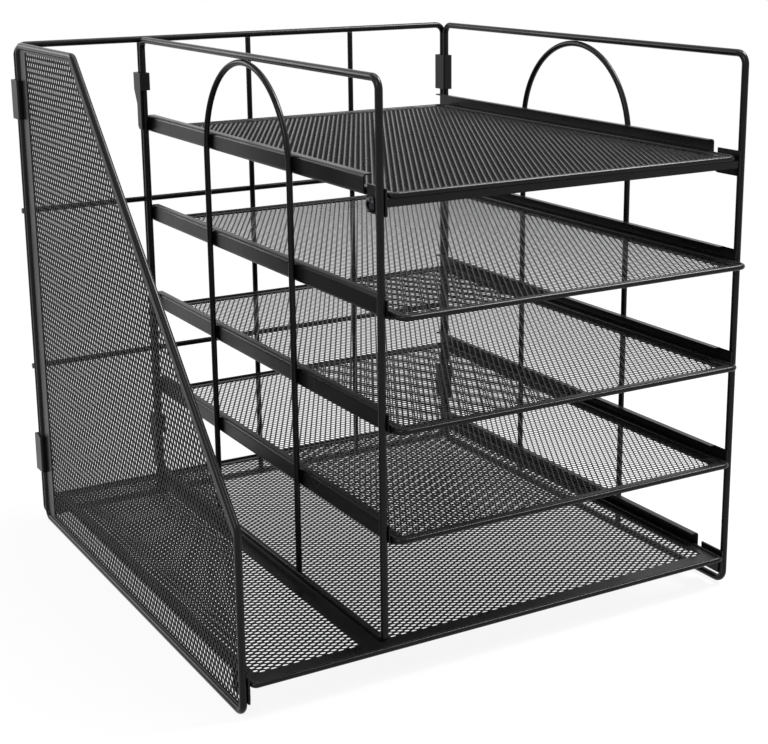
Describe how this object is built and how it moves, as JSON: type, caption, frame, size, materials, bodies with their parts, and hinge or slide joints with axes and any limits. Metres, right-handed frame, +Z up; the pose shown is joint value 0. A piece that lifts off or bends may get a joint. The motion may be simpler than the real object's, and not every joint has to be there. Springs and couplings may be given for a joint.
{
  "type": "letter tray tower",
  "caption": "Desk tower of a black wire frame holding mesh letter trays, most of them sliding on rails, with an upright mesh-sided file slot along one side.",
  "frame": {"origin": "on the desk, under the middle of the tower's box", "axes": "+X to the right as seen from the front, from the file slot to the trays; +Y to the back, against the way the trays slide out; +Z up"},
  "size_m": [0.3148, 0.3296, 0.31],
  "materials": {
    "wire_coat": "satin",
    "sheet_coat": "satin",
    "mesh_coat": "satin",
    "screw_steel": "satin"
  },
  "bodies": {
    "frame": {"back_frame_loop": "wire_coat", "back_upright_middle": "wire_coat", "back_upright_centre": "wire_coat", "back_upright_right": "wire_coat", "back_crossbar_upper": "wire_coat", "back_crossbar_lower": "wire_coat", "left_panel_rim": "wire_coat", "left_panel_hem": "sheet_coat", "left_panel_mesh": "mesh_coat", "left_panel_plates": "sheet_coat", "left_panel_clips": "sheet_coat", "middle_frame_loop": "wire_coat", "middle_frame_arch": "wire_coat", "middle_rail_1": "sheet_coat", "middle_rail_2": "sheet_coat", "middle_rail_3": "sheet_coat", "middle_rail_4": "sheet_coat", "middle_front_plate": "sheet_coat", "middle_clips": "sheet_coat", "right_frame_loop": "wire_coat", "right_frame_arch": "wire_coat", "right_rail_1": "sheet_coat", "right_rail_2": "sheet_coat", "right_rail_3": "sheet_coat", "right_rail_4": "sheet_coat", "right_rail_5": "sheet_coat", "right_front_plates": "sheet_coat", "right_clips": "sheet_coat", "top_tray_rim": "wire_coat", "top_tray_border": "sheet_coat", "top_tray_mesh": "mesh_coat", "top_tray_apron": "sheet_coat", "top_tray_screws": "screw_steel", "base_tray_rim": "wire_coat", "base_tray_border": "sheet_coat", "base_mesh_left": "mesh_coat", "base_mesh_right": "mesh_coat", "base_tray_tabs": "sheet_coat", "base_tray_screws": "screw_steel"},
    "tray_2": {"tray_2_rim": "wire_coat", "tray_2_border": "sheet_coat", "tray_2_mesh": "mesh_coat"},
    "tray_3": {"tray_3_rim": "wire_coat", "tray_3_border": "sheet_coat", "tray_3_mesh": "mesh_coat"},
    "tray_4": {"tray_4_rim": "wire_coat", "tray_4_border": "sheet_coat", "tray_4_mesh": "mesh_coat"}
  },
  "joints": [
    {"name": "tray_2_slide", "type": "slide", "parent": "frame", "child": "tray_2", "axis": [0, -1, 0], "range_m": [-0.0117, 0.2]},
    {"name": "tray_3_slide", "type": "slide", "parent": "frame", "child": "tray_3", "axis": [0, -1, 0], "range_m": [-0.0087, 0.2]},
    {"name": "tray_4_slide", "type": "slide", "parent": "frame", "child": "tray_4", "axis": [0, -1, 0], "range_m": [-0.0057, 0.2]}
  ]
}
